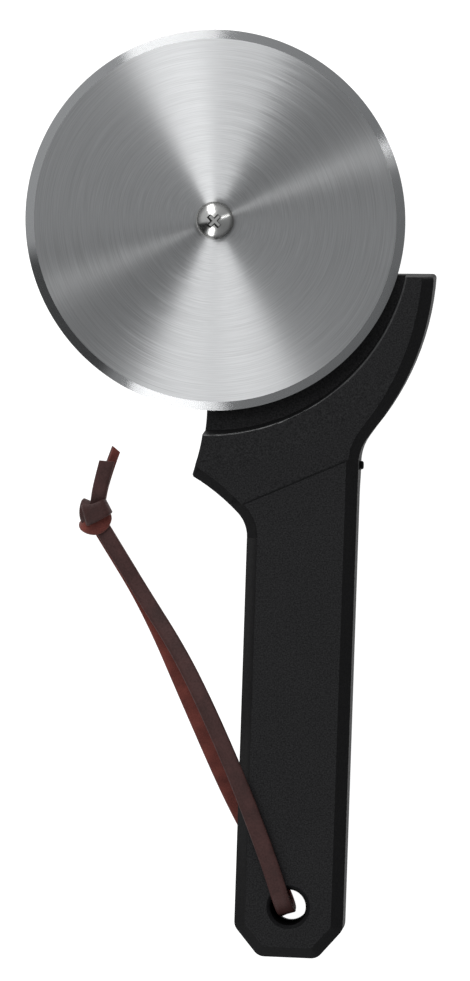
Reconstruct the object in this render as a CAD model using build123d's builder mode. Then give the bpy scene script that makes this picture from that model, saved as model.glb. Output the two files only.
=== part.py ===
from build123d import *
import os
from math import cos, radians, sin, tan

# Pizza cutter wheel: a steel disc that spins on a screw axle, a moulded handle whose guard
# wraps the disc's rim, and a leather lace doubled through the handle's hanging hole.
# The origin lies on the blade's axis, in the flat back of the head that rests on a table.
# +Z is the blade's axis and comes out of the front, +Y points away from the grip and
# +X points to the guard's side.

# Every cut runs this far past the face that it opens
overrun = 2.0

# Blade
blade_radius = 50.0
blade_thickness = 1.2
blade_edge_thickness = 0.3
blade_bevel_width = 2.3

# Axle: screw, sleeve and washers, stacked on the arm's boss
screw_radius = 2.0
screw_head_radius = 5.0
screw_head_rim = 0.45
screw_head_height = 2.6
screw_tip_gap = 0.15
recess_span = 4.2
recess_width = 1.4
recess_depth = 1.6
recess_angle = 45.0
recess_taper = 12.0
sleeve_radius = 3.0
sleeve_clearance = 0.05
blade_bore_clearance = 0.05
blade_play = 0.05
washer_clearance = 0.1
rear_washer_radius = 8.0
rear_washer_thickness = 0.8
front_washer_radius = 4.4
front_washer_thickness = 0.5

# Lock nut with its nylon ring, under a flush cap
nut_across_flats = 7.0
nut_height = 4.2
nut_collar_radius = 3.2
nut_collar_height = 1.2
nut_ring_radius = 2.75
nut_ring_height = 1.0
nut_thread_clearance = 0.02
nut_pocket_clearance = 0.1
cap_radius = 6.0
cap_thickness = 1.2
cap_clearance = 0.05
cap_edge_chamfer = 0.3

# Handle
head_thickness = 14.0
grip_lift = 2.0
ledge_height = 6.0
boss_radius = 10.0
boss_height = 7.4
boss_floor = 1.8
grip_width = 28.7
grip_tilt = 1.87
grip_length = 134.2
end_corner_across = 6.6
end_corner_along = 7.8
end_corner_rounding = 3.4
front_bevel = 3.0
left_neck_rounding = 9.0
right_neck_rounding = 12.0
pocket_clearance = 3.2
pocket_draft = 3.6
pocket_rim_rounding = 0.45
crease_step = 0.45
crease_run = 19.0
back_ramp = 4.0
gate_radius = 1.5
gate_height = 1.1
gate_taper = 10.0

# Hanging hole near the grip's end, with a rounded front mouth
hang_hole_radius = 4.5
hang_hole_from_end = 13.7
hang_mouth_rounding = 1.5
hang_back_chamfer = 0.6
hang_tube_wall = 2.1

# Hollow of the grip, its cover and the cover's screws
wall_thickness = 2.8
cover_thickness = 2.4
cover_margin = 1.6
cover_clearance = 0.12
cover_stop = 21.0
rib_thickness = 1.6
rib_height = 5.0
post_radius = 3.2
cover_screw_radius = 1.45
cover_screw_head_radius = 2.7
cover_screw_length = 8.0
cover_screw_clearance = 0.05
cover_screw_slot = 0.7
cover_screw_slot_depth = 0.6

# Leather lace
lace_width = 4.5
lace_thickness = 1.4
knot_length = 9.6
knot_width = 9.0
knot_height = 6.0
knot_rounding = 2.4
knot_centre = (-32.1, -78.8)
knot_base = 0.4
knot_entry = 4.2
knot_exit = 3.9
lace_heading = 122.0
tail_heading = 81.0

# Places along the back cover, in shares of its length
cover_screw_shares = (0.304, 0.607, 0.911)
rib_shares = (0.455, 0.759)

# Head outline, in shares of the blade's radius, from the guard's top round the right side,
# then from the tip left of the grip up the head's left edge to the arm
guard_top_shares = (1.154, -0.286)
guard_side_shares = (1.0414, -0.759)
guard_root_shares = (0.838, -1.092)
right_neck_shares = (0.758, -1.2)
left_neck_shares = (0.175, -1.592)
tip_shares = (-0.12, -1.34)
shoulder_bend_shares = (0.052, -1.466)
left_edge_shares = (-0.064, -1.15)
left_top_shares = (-0.048, -0.996)
arm_left_shares = (-0.10, -0.52)
pocket_centre_shares = (-0.03, -0.055)
arm_neck_share = 0.28
grip_root_shares = (0.4726, -1.2)
crease_left_shares = (0.174, -1.474)
crease_right_shares = (0.70, -1.25)
gate_shares = (0.758, -1.286)

# Lace routes: from the middle of the hanging hole out to the knot, and the two tails
front_route = [
    (19.0, -182.2, 8.0),
    (19.0, -182.2, 15.2),
    (15.0, -168.9, 15.2),
    (6.1, -146.8, 15.0),
    (-2.2, -128.6, 13.0),
    (-9.6, -114.0, 9.4),
    (-19.276, -99.323, 4.6),
    (-29.874, -82.362, 4.6),
]
back_route = [
    (19.0, -182.2, 8.0),
    (19.0, -182.2, 1.0),
    (13.5, -170.2, 1.0),
    (5.3, -154.7, 1.0),
    (-5.2, -129.5, 1.1),
    (-17.421, -102.291, 2.0),
    (-29.874, -82.362, 2.0),
]
front_tail_route = [
    (-31.49, -74.948, 4.6),
    (-30.786, -70.503, 4.6),
    (-29.0, -63.9, 4.3),
]
back_tail_route = [
    (-31.49, -74.948, 2.2),
    (-30.63, -69.516, 2.2),
    (-26.8, -60.9, 1.8),
]


def at_share(shares, size):
    """Point of an outline, from its shares of a size."""
    return (shares[0] * size, shares[1] * size)


def heading(angle):
    """Level unit vector at an angle from +X."""
    return Vector(cos(radians(angle)), sin(radians(angle)), 0)


def lace_point(angle, distance, height):
    """Point at a distance from the knot's centre along a heading, at a height."""
    place = Vector(*knot_centre) + heading(angle) * distance
    return (place.X, place.Y, height)


def corner_radii(route):
    """Radius of each corner of a lace route: as large as its two runs allow."""
    run_share = 0.45
    radii = []
    for before, corner, after in zip(route, route[1:], route[2:]):
        run_in = Vector(*corner) - Vector(*before)
        run_out = Vector(*after) - Vector(*corner)
        half_turn = radians(run_in.get_angle(run_out)) / 2
        radii.append(run_share * min(run_in.length, run_out.length) / tan(half_turn))
    return radii


def section_plane(route, flat_run):
    """Plane across the start of a lace route, with the strip's width level."""
    start = Vector(*route[1]) - Vector(*route[0])
    along = Vector(*route[flat_run + 1]) - Vector(*route[flat_run])
    return Plane(origin=route[0], x_dir=along.cross(Vector(0, 0, 1)), z_dir=start)


# Levels of the axle stack, from the arm's boss outwards
rear_washer_top = boss_height + rear_washer_thickness
blade_back = rear_washer_top + blade_play
blade_front = blade_back + blade_thickness
front_washer_back = blade_front + blade_play
head_seat = front_washer_back + front_washer_thickness
nut_seat = boss_height - boss_floor
nut_back = nut_seat - nut_height

# Frame of the grip: x across it, y from its end towards the head
grip_across = heading(-grip_tilt)
grip_along = heading(90 - grip_tilt)
end_centre = Vector(*at_share(grip_root_shares, blade_radius)) - grip_along * grip_length
grip_frame = Plane(origin=end_centre, x_dir=grip_across, z_dir=(0, 0, 1))
half_grip = grip_width / 2
corner_half_turn = 22.5
cover_top = grip_lift + cover_thickness
hollow_top = head_thickness - wall_thickness
screw_tip = grip_lift + cover_screw_length
screw_cone = cover_screw_head_radius - cover_screw_radius
screw_cone_angle = 45
cover_length = grip_length - cover_stop
post_centres = [(0, share * cover_length) for share in cover_screw_shares]
rib_centres = [(0, share * cover_length) for share in rib_shares]
hang_centre = (0, hang_hole_from_end)
hang_mouth = end_centre + grip_along * hang_hole_from_end + Vector(0, 0, head_thickness)


def grip_point(across, along):
    """Point of the handle's outline, from its place across and along the grip."""
    place = end_centre + grip_across * across + grip_along * along
    return (place.X, place.Y)


def grip_level(height):
    """The grip's frame, raised to a height."""
    return grip_frame.offset(height)


def grip_band(inset, length):
    """Outline of a plate in the grip, a margin inside its sides and end corners."""
    corner_shift = inset * tan(radians(corner_half_turn))
    with BuildSketch(mode=Mode.PRIVATE) as band:
        with BuildLine():
            Polyline(
                (-half_grip + inset, end_corner_along + corner_shift),
                (-half_grip + end_corner_across + corner_shift, inset),
                (half_grip - end_corner_across - corner_shift, inset),
                (half_grip - inset, end_corner_along + corner_shift),
                (half_grip - inset, length),
                (-half_grip + inset, length),
                close=True,
            )
        make_face()
    return band.sketch


# Blade: a disc ground to a thin rim from both faces
with BuildPart() as blade:
    with BuildSketch(Plane.XZ):
        with BuildLine():
            Polyline(
                (sleeve_radius + blade_bore_clearance, blade_back),
                (blade_radius - blade_bevel_width, blade_back),
                (blade_radius, (blade_back + blade_front - blade_edge_thickness) / 2),
                (blade_radius, (blade_back + blade_front + blade_edge_thickness) / 2),
                (blade_radius - blade_bevel_width, blade_front),
                (sleeve_radius + blade_bore_clearance, blade_front),
                close=True,
            )
        make_face()
    revolve(axis=Axis.Z)

# Axle screw: domed head with a cross recess, and a plain shank down to the nut's end
shank_end = nut_back - screw_tip_gap
dome_top = head_seat + screw_head_height
with BuildPart() as axle_screw:
    with BuildSketch(Plane.XZ):
        with BuildLine():
            Line((0, shank_end), (screw_radius, shank_end))
            Line((screw_radius, shank_end), (screw_radius, head_seat))
            Line((screw_radius, head_seat), (screw_head_radius, head_seat))
            Line((screw_head_radius, head_seat), (screw_head_radius, head_seat + screw_head_rim))
            TangentArc(
                (0, dome_top),
                (screw_head_radius, head_seat + screw_head_rim),
                tangent=(1, 0),
            )
            Line((0, dome_top), (0, shank_end))
        make_face()
    revolve(axis=Axis.Z)
    with BuildSketch(Plane.XY.offset(dome_top)):
        with Locations(Rotation(0, 0, recess_angle)):
            Rectangle(recess_span, recess_width)
            Rectangle(recess_width, recess_span)
    extrude(amount=-recess_depth, taper=recess_taper, mode=Mode.SUBTRACT)

# Sleeve that the blade turns on
with BuildPart() as axle_sleeve:
    with BuildSketch(Plane.XY.offset(boss_height)):
        Circle(sleeve_radius)
        Circle(screw_radius + sleeve_clearance, mode=Mode.SUBTRACT)
    extrude(amount=head_seat - boss_height)

# Washers each side of the blade
with BuildPart() as rear_washer:
    with BuildSketch(Plane.XY.offset(boss_height)):
        Circle(rear_washer_radius)
        Circle(sleeve_radius + washer_clearance, mode=Mode.SUBTRACT)
    extrude(amount=rear_washer_thickness)

with BuildPart() as front_washer:
    with BuildSketch(Plane.XY.offset(front_washer_back)):
        Circle(front_washer_radius)
        Circle(sleeve_radius + washer_clearance, mode=Mode.SUBTRACT)
    extrude(amount=front_washer_thickness)

# Lock nut: hexagon with a round collar behind, which holds the nylon ring
nut_bore = screw_radius + nut_thread_clearance
with BuildPart() as lock_nut:
    with BuildSketch(Plane.XY.offset(nut_back + nut_collar_height)):
        RegularPolygon(nut_across_flats / 2, 6, major_radius=False)
    extrude(amount=nut_height - nut_collar_height)
    with BuildSketch(Plane.XY.offset(nut_back)):
        Circle(nut_collar_radius)
    extrude(amount=nut_collar_height)
    with BuildSketch(Plane.XY.offset(nut_back)):
        Circle(nut_bore)
    extrude(amount=nut_height, mode=Mode.SUBTRACT)
    with BuildSketch(Plane.XY.offset(nut_back)):
        Circle(nut_ring_radius)
    extrude(amount=nut_ring_height, mode=Mode.SUBTRACT)

with BuildPart() as lock_nut_ring:
    with BuildSketch(Plane.XY.offset(nut_back)):
        Circle(nut_ring_radius - nut_thread_clearance)
        Circle(nut_bore, mode=Mode.SUBTRACT)
    extrude(amount=nut_ring_height)

# Cap over the nut, flush with the head's back
with BuildPart() as nut_cap:
    with BuildSketch(Plane.XY):
        Circle(cap_radius)
    extrude(amount=cap_thickness)
    chamfer(nut_cap.edges().filter_by(GeomType.CIRCLE).sort_by(Axis.Z)[0], cap_edge_chamfer)

# Handle shell
guard_top = at_share(guard_top_shares, blade_radius)
guard_root = at_share(guard_root_shares, blade_radius)
tip = at_share(tip_shares, blade_radius)
left_top = at_share(left_top_shares, blade_radius)
pocket_centre = at_share(pocket_centre_shares, blade_radius)
arm_corner = (boss_radius, guard_top[1])


def along_grip(point):
    """How far up the grip a point of the outline lies."""
    return (Vector(*point) - end_centre).dot(grip_along)


right_neck = grip_point(half_grip, along_grip(at_share(right_neck_shares, blade_radius)))
left_neck = grip_point(-half_grip, along_grip(at_share(left_neck_shares, blade_radius)))
gate = grip_point(half_grip, along_grip(at_share(gate_shares, blade_radius)))

with BuildPart() as handle_shell:
    with BuildSketch() as outline:
        with BuildLine():
            ThreePointArc(guard_top, at_share(guard_side_shares, blade_radius), guard_root)
            Line(guard_root, right_neck)
            Line(right_neck, grip_point(half_grip, end_corner_along))
            Polyline(
                grip_point(half_grip, end_corner_along),
                grip_point(half_grip - end_corner_across, 0),
                grip_point(end_corner_across - half_grip, 0),
                grip_point(-half_grip, end_corner_along),
            )
            Line(grip_point(-half_grip, end_corner_along), left_neck)
            ThreePointArc(left_neck, at_share(shoulder_bend_shares, blade_radius), tip)
            ThreePointArc(tip, at_share(left_edge_shares, blade_radius), left_top)
            ThreePointArc(left_top, at_share(arm_left_shares, blade_radius), (-boss_radius, 0))
            Line((-boss_radius, 0), (boss_radius, 0))
            Line((boss_radius, 0), arm_corner)
            Line(arm_corner, guard_top)
        make_face()
        fillet(outline.vertices().sort_by_distance(left_neck)[0], left_neck_rounding)
        fillet(outline.vertices().sort_by_distance(right_neck)[0], right_neck_rounding)
        fillet(outline.vertices().sort_by_distance(arm_corner)[0], arm_neck_share * blade_radius)
        fillet(outline.vertices().sort_by(Axis.Y)[:4], end_corner_rounding)
    extrude(amount=head_thickness)

    # Front bevel, from the guard's outer side round the grip to the tip
    front_edges = handle_shell.faces().sort_by(Axis.Z)[-1].edges()
    outer_side = grip_point(half_grip, 0)[0]
    guard_side_top = guard_top[1] - front_bevel
    bevelled = front_edges.filter_by(
        lambda edge: edge.center().Y < tip[1]
        or (edge.center().X > outer_side and edge.center().Y < guard_side_top)
    )
    chamfer(bevelled, front_bevel)

    # Round pocket for the blade, down to the ledge
    with BuildSketch(Plane.XY.offset(head_thickness)):
        with Locations(pocket_centre):
            Circle(blade_radius + pocket_clearance)
    extrude(amount=-(head_thickness - ledge_height), taper=pocket_draft, mode=Mode.SUBTRACT)

    # Softened rim of the pocket
    rim = handle_shell.edges().filter_by(GeomType.CIRCLE).group_by(Axis.Z)[-1]
    fillet(rim.sort_by(SortBy.LENGTH)[-1], pocket_rim_rounding)

    # Boss under the blade
    with BuildSketch():
        Circle(boss_radius)
    extrude(amount=boss_height)

    # The grip's back stands off the table, past a short ramp
    with BuildSketch(Plane.YZ):
        with BuildLine():
            Polyline(
                (tip[1], 0),
                (tip[1] - back_ramp, grip_lift),
                (end_centre.Y - half_grip, grip_lift),
                (end_centre.Y - half_grip, -overrun),
                (tip[1], -overrun),
                close=True,
            )
        make_face()
    extrude(amount=blade_radius + half_grip, both=True, mode=Mode.SUBTRACT)

    # Crease across the front: the head slopes down to it and the grip steps up from it
    crease_left = Vector(*at_share(crease_left_shares, blade_radius))
    crease_right = Vector(*at_share(crease_right_shares, blade_radius))
    crease = crease_right - crease_left
    crease_frame = Plane(
        origin=crease_left - crease + Vector(0, 0, head_thickness), x_dir=(0, 0, 1), z_dir=crease
    )
    with BuildSketch(crease_frame):
        with BuildLine():
            Polyline(
                (overrun, 0),
                (-crease_step, 0),
                (0, -crease_run),
                (overrun, -crease_run),
                close=True,
            )
        make_face()
    extrude(amount=3 * crease.length, mode=Mode.SUBTRACT)

    # Recess for the back cover, and the hollow above it
    with BuildSketch(grip_level(grip_lift)):
        add(grip_band(cover_margin, cover_length + cover_clearance))
    extrude(amount=cover_thickness, mode=Mode.SUBTRACT)
    with BuildSketch(grip_level(cover_top)):
        add(grip_band(wall_thickness, cover_length - wall_thickness))
    extrude(amount=hollow_top - cover_top, mode=Mode.SUBTRACT)

    # Inside the hollow: ribs, the cover screws' posts and the hanging hole's tube
    with BuildSketch(grip_level(hollow_top)):
        with Locations(rib_centres):
            Rectangle(grip_width - wall_thickness, rib_thickness)
    extrude(amount=-rib_height)
    with BuildSketch(grip_level(cover_top)):
        with Locations(post_centres):
            Circle(post_radius)
        with Locations(hang_centre):
            Circle(hang_hole_radius + hang_tube_wall)
    extrude(amount=hollow_top - cover_top + wall_thickness / 2)
    with BuildSketch(grip_level(cover_top)):
        with Locations(post_centres):
            Circle(cover_screw_radius + cover_screw_clearance)
    extrude(amount=screw_tip - cover_top + screw_tip_gap, mode=Mode.SUBTRACT)

    # Hanging hole, right through, with a softly rounded front mouth
    with BuildSketch(grip_level(grip_lift)):
        with Locations(hang_centre):
            Circle(hang_hole_radius)
    extrude(amount=head_thickness, mode=Mode.SUBTRACT)
    with BuildSketch(Plane(origin=hang_mouth, x_dir=grip_across, z_dir=-grip_along)):
        with BuildLine():
            mouth_curve = RadiusArc(
                (hang_hole_radius, -hang_mouth_rounding),
                (hang_hole_radius + hang_mouth_rounding, 0),
                hang_mouth_rounding,
            )
            Polyline(
                mouth_curve @ 1,
                (hang_hole_radius + hang_mouth_rounding, overrun),
                (0, overrun),
                (0, -hang_mouth_rounding),
                mouth_curve @ 0,
            )
        make_face()
    revolve(axis=Axis(hang_mouth, (0, 0, 1)), mode=Mode.SUBTRACT)

    # Seats of the screw, the nut and its cap in the arm's boss
    with BuildSketch():
        Circle(cap_radius + cap_clearance)
    extrude(amount=cap_thickness, mode=Mode.SUBTRACT)
    with BuildSketch():
        RegularPolygon(nut_across_flats / 2 + nut_pocket_clearance, 6, major_radius=False)
    extrude(amount=nut_seat, mode=Mode.SUBTRACT)
    with BuildSketch():
        Circle(screw_radius + sleeve_clearance)
    extrude(amount=boss_height, mode=Mode.SUBTRACT)

    # Trimmed moulding gate on the right side, below the guard
    with BuildSketch(Plane.YZ.offset(gate[0] - gate_radius)):
        with Locations((gate[1], (head_thickness - front_bevel + grip_lift) / 2)):
            Circle(gate_radius)
    extrude(amount=gate_radius + gate_height, taper=gate_taper)

# Back cover of the grip, with countersunk screw holes
with BuildPart() as back_cover:
    with BuildSketch(grip_level(grip_lift)):
        add(grip_band(cover_margin + cover_clearance, cover_length))
    extrude(amount=cover_thickness)
    with BuildSketch(grip_level(grip_lift)):
        with Locations(hang_centre):
            Circle(hang_hole_radius)
        with Locations(post_centres):
            Circle(cover_screw_radius + cover_screw_clearance)
    extrude(amount=cover_thickness, mode=Mode.SUBTRACT)
    with BuildSketch(grip_level(grip_lift)):
        with Locations(post_centres):
            Circle(cover_screw_head_radius + cover_screw_clearance)
    extrude(amount=screw_cone, taper=screw_cone_angle, mode=Mode.SUBTRACT)
    back_mouth = back_cover.edges().filter_by(GeomType.CIRCLE).group_by(Axis.Z)[0]
    chamfer(back_mouth.sort_by_distance(hang_mouth)[0], hang_back_chamfer)

# The cover's three countersunk screws
with BuildPart() as cover_screws:
    with BuildSketch(grip_level(grip_lift)):
        with Locations(post_centres):
            Circle(cover_screw_head_radius)
    extrude(amount=screw_cone, taper=screw_cone_angle)
    with BuildSketch(grip_level(grip_lift)):
        with Locations(post_centres):
            Circle(cover_screw_radius)
    extrude(amount=cover_screw_length)
    with BuildSketch(grip_level(grip_lift)):
        with Locations(post_centres):
            Rectangle(2 * cover_screw_radius, cover_screw_slot)
            Rectangle(cover_screw_slot, 2 * cover_screw_radius)
    extrude(amount=cover_screw_slot_depth, mode=Mode.SUBTRACT)

# Lace strands, from the middle of the hanging hole to the knot
with BuildPart() as lace_front_strand:
    with BuildLine():
        FilletPolyline(*front_route, radius=corner_radii(front_route))
    with BuildSketch(section_plane(front_route, 1)):
        Rectangle(lace_width, lace_thickness)
    sweep()

with BuildPart() as lace_back_strand:
    with BuildLine():
        FilletPolyline(*back_route, radius=corner_radii(back_route))
    with BuildSketch(section_plane(back_route, 1)):
        Rectangle(lace_width, lace_thickness)
    sweep()

# Knot of both strands, flat where the strands go in and where the tails come out
knot_frame = Plane(origin=lace_point(0, 0, knot_base), x_dir=heading(lace_heading), z_dir=(0, 0, 1))
with BuildPart() as lace_knot:
    with BuildSketch(knot_frame):
        Ellipse(knot_length / 2, knot_width / 2)
    extrude(amount=knot_height)
    fillet(lace_knot.faces().filter_by(Axis.Z).edges(), knot_rounding)
    split(bisect_by=Plane(origin=lace_point(lace_heading, -knot_entry, 0), z_dir=heading(lace_heading)))
    split(bisect_by=Plane(origin=lace_point(tail_heading, knot_exit, 0), z_dir=-heading(tail_heading)))

# Tails of the two strands beyond the knot
with BuildPart() as lace_front_tail:
    with BuildLine():
        FilletPolyline(*front_tail_route, radius=corner_radii(front_tail_route))
    with BuildSketch(section_plane(front_tail_route, 0)):
        Rectangle(lace_width, lace_thickness)
    sweep()

with BuildPart() as lace_back_tail:
    with BuildLine():
        FilletPolyline(*back_tail_route, radius=corner_radii(back_tail_route))
    with BuildSketch(section_plane(back_tail_route, 0)):
        Rectangle(lace_width, lace_thickness)
    sweep()

# Lace bends and sections, against the solids that follow them
lace = {
    "front strand": (front_route, lace_front_strand),
    "back strand": (back_route, lace_back_strand),
    "front tail": (front_tail_route, lace_front_tail),
    "back tail": (back_tail_route, lace_back_tail),
}
for name, (route, strip) in lace.items():
    path = FilletPolyline(*route, radius=corner_radii(route))
    filled = strip.part.volume / (path.length * lace_width * lace_thickness)
    radii = ", ".join(f"{radius:.1f}" for radius in corner_radii(route))
    print(f"{name}: length {path.length:.1f}, radii {radii}, volume share {filled:.3f}")

# Pieces of the wheel, one file each
pieces = {
    "handle_shell": handle_shell,
    "back_cover": back_cover,
    "cover_screws": cover_screws,
    "blade": blade,
    "axle_screw": axle_screw,
    "axle_sleeve": axle_sleeve,
    "front_washer": front_washer,
    "rear_washer": rear_washer,
    "lock_nut": lock_nut,
    "lock_nut_ring": lock_nut_ring,
    "nut_cap": nut_cap,
    "lace_front_strand": lace_front_strand,
    "lace_back_strand": lace_back_strand,
    "lace_knot": lace_knot,
    "lace_front_tail": lace_front_tail,
    "lace_back_tail": lace_back_tail,
}
os.makedirs("parts", exist_ok=True)
for name, piece in pieces.items():
    piece.part.label = name
    export_step(piece.part, f"parts/{name}.step")
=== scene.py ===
"""Looks of a pizza cutter wheel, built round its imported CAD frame.

The wheel lies on its back on a pale table: a brushed steel disc on a screw axle, a black
moulded handle with a finger guard, and a leather lace doubled through the hanging hole.
Everything is in metres and in the frame's own axes.
"""

import logging
import math
from dataclasses import dataclass
from enum import Enum

import bmesh
import bpy
from mathutils import Matrix, Vector


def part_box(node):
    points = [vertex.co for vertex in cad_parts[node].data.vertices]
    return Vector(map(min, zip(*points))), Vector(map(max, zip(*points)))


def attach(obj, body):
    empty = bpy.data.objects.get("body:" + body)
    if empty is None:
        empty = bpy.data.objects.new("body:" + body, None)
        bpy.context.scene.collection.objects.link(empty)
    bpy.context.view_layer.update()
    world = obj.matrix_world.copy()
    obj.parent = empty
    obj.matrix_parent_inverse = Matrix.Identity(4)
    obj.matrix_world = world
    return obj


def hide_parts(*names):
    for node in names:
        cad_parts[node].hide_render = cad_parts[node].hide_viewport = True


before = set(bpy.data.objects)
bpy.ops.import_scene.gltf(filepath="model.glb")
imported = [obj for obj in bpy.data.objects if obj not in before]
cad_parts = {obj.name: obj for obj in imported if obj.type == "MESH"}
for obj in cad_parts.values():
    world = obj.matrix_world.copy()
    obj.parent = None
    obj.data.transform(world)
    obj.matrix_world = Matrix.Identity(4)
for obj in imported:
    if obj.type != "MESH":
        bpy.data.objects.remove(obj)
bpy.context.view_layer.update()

log = logging.getLogger("pizza_cutter")

MM = 0.001
PHOTO_HEIGHT_PX = 981
PX_PER_MM = 3.8155

Socket = bpy.types.NodeSocket
Colour = tuple[float, float, float, float]
Materials = list[bpy.types.Material]
Edges = list[bmesh.types.BMEdge]

# A noise texture's values lie mostly between these, which are stretched to a full range
NOISE_MIDDLE = {"From Min": 0.3, "From Max": 0.7}


class Body(Enum):
    """Bodies of the frame that pieces ride on."""

    HANDLE = "handle"
    BLADE = "blade"
    LACE = "lace"


class Slot(Enum):
    """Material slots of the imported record."""

    NYLON = "handle_plastic"
    BLADE = "blade_steel"
    STEEL = "bright_steel"
    WASHER = "washer_plastic"
    LEATHER = "lace_leather"


class LeatherSide(Enum):
    """Which side of the leather strip looks up."""

    GRAIN = 1
    FLESH = -1


class HandleFace(Enum):
    """Kinds of the handle's faces, numbered in the order of its finishes."""

    FRONT = 0
    SMOOTH_PAINTED_SHADE = 1
    HOLE_WALL = 2
    POCKET_RIM = 3


class StripFace(Enum):
    """Kinds of a leather strip's faces, numbered in the order of its finishes."""

    UPPER = 0
    LOWER = 1
    EDGE = 2


def linear(hex_colour: str) -> Colour:
    """Turn an sRGB hex colour into linear light.

    Args:
        hex_colour: Colour written as #rrggbb.

    Returns:
        Linear red, green, blue and an alpha of 1.
    """
    channels = []
    for start in (1, 3, 5):
        value = int(hex_colour[start : start + 2], 16) / 255
        low = value <= 0.04045
        channels.append(value / 12.92 if low else ((value + 0.055) / 1.055) ** 2.4)
    return (*channels, 1.0)


def add_node(
    tree: bpy.types.NodeTree, kind: str, links: dict, **settings: object
) -> bpy.types.Node:
    """Add one node with its settings, its values and its links.

    Args:
        tree: Node tree of a material or of the world.
        kind: Blender's name of the node type.
        links: A value or another node's output for each input, by its name or number.
        **settings: Properties of the node itself.

    Returns:
        The new node.
    """
    node = tree.nodes.new(kind)
    for name, value in settings.items():
        setattr(node, name, value)
    for socket, value in links.items():
        if isinstance(value, Socket):
            tree.links.new(value, node.inputs[socket])
        else:
            node.inputs[socket].default_value = value
    return node


@dataclass(frozen=True)
class Finish:
    """A surface as its maker would name it, which becomes one material."""

    name: str

    def start(self) -> tuple[bpy.types.Material, bpy.types.NodeTree, Socket]:
        """Open the material.

        Returns:
            The material, its node tree and the place on the piece in metres.
        """
        material = bpy.data.materials.new(self.name)
        material.use_nodes = True
        tree = material.node_tree
        tree.nodes.clear()
        place = add_node(tree, "ShaderNodeTexCoord", {}).outputs["Object"]
        return material, tree, place

    def close(self, tree: bpy.types.NodeTree, values: dict) -> None:
        """Set the shader's values and join it to the output.

        Args:
            tree: The material's node tree.
            values: A value or another node's output for each of the shader's inputs.
        """
        shader = add_node(tree, "ShaderNodeBsdfPrincipled", values)
        add_node(tree, "ShaderNodeOutputMaterial", {"Surface": shader.outputs["BSDF"]})


@dataclass(frozen=True)
class MouldedNylon(Finish):
    """Glass-filled nylon, injection moulded in a spark-eroded tool.

    The eye sees a dull black with a fine even pebble that scatters the light. The bevels and
    walls are moulded smoother and drawn darker than the flat front, and that darkness is painted
    shade.
    """

    name: str = "moulded black nylon, textured"
    dark: str = "#151516"
    light: str = "#2f2f30"
    ior: float = 1.53
    # The moulded texture scatters most of the gloss; 0.5 would be a smooth surface's
    gloss: float = 0.08
    smoothest: float = 0.44
    roughest: float = 0.60
    # A spark-eroded grain is near 0.1 mm; it is drawn this coarse to show in the render
    grain: float = 0.36 * MM
    grain_depth: float = 0.030 * MM
    cloud: float = 30.0 * MM
    drift_share: float = 0.1
    darkest_at: float = 0.36
    lightest_at: float = 0.74

    def make(self) -> bpy.types.Material:
        """Make the material.

        Returns:
            The material.
        """
        material, tree, place = self.start()
        pebble = add_node(
            tree, "ShaderNodeTexNoise",
            {"Vector": place, "Scale": 1 / self.grain, "Detail": 2.0, "Roughness": 0.6},
        )
        drift = add_node(
            tree, "ShaderNodeTexNoise",
            {"Vector": place, "Scale": 1 / self.cloud, "Detail": 3.0, "Roughness": 0.55},
        )
        both = add_node(
            tree, "ShaderNodeMath",
            {0: drift.outputs["Fac"], 1: self.drift_share, 2: pebble.outputs["Fac"]},
            operation="MULTIPLY_ADD",
        )
        tone = add_node(
            tree, "ShaderNodeMapRange",
            {
                "Value": both.outputs[0], "From Min": self.darkest_at,
                "From Max": self.lightest_at,
            },
        )
        colour = add_node(
            tree, "ShaderNodeMix",
            {0: tone.outputs[0], 6: linear(self.dark), 7: linear(self.light)},
            data_type="RGBA",
        )
        rough = add_node(
            tree, "ShaderNodeMapRange",
            {
                "Value": pebble.outputs["Fac"], **NOISE_MIDDLE,
                "To Min": self.roughest, "To Max": self.smoothest,
            },
        )
        bump = add_node(
            tree, "ShaderNodeBump",
            {"Height": pebble.outputs["Fac"], "Distance": self.grain_depth, "Strength": 1.0},
        )
        self.close(tree, {
            "Base Color": colour.outputs[2], "Roughness": rough.outputs[0],
            "IOR": self.ior, "Specular IOR Level": self.gloss, "Normal": bump.outputs[0],
        })
        return material


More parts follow.
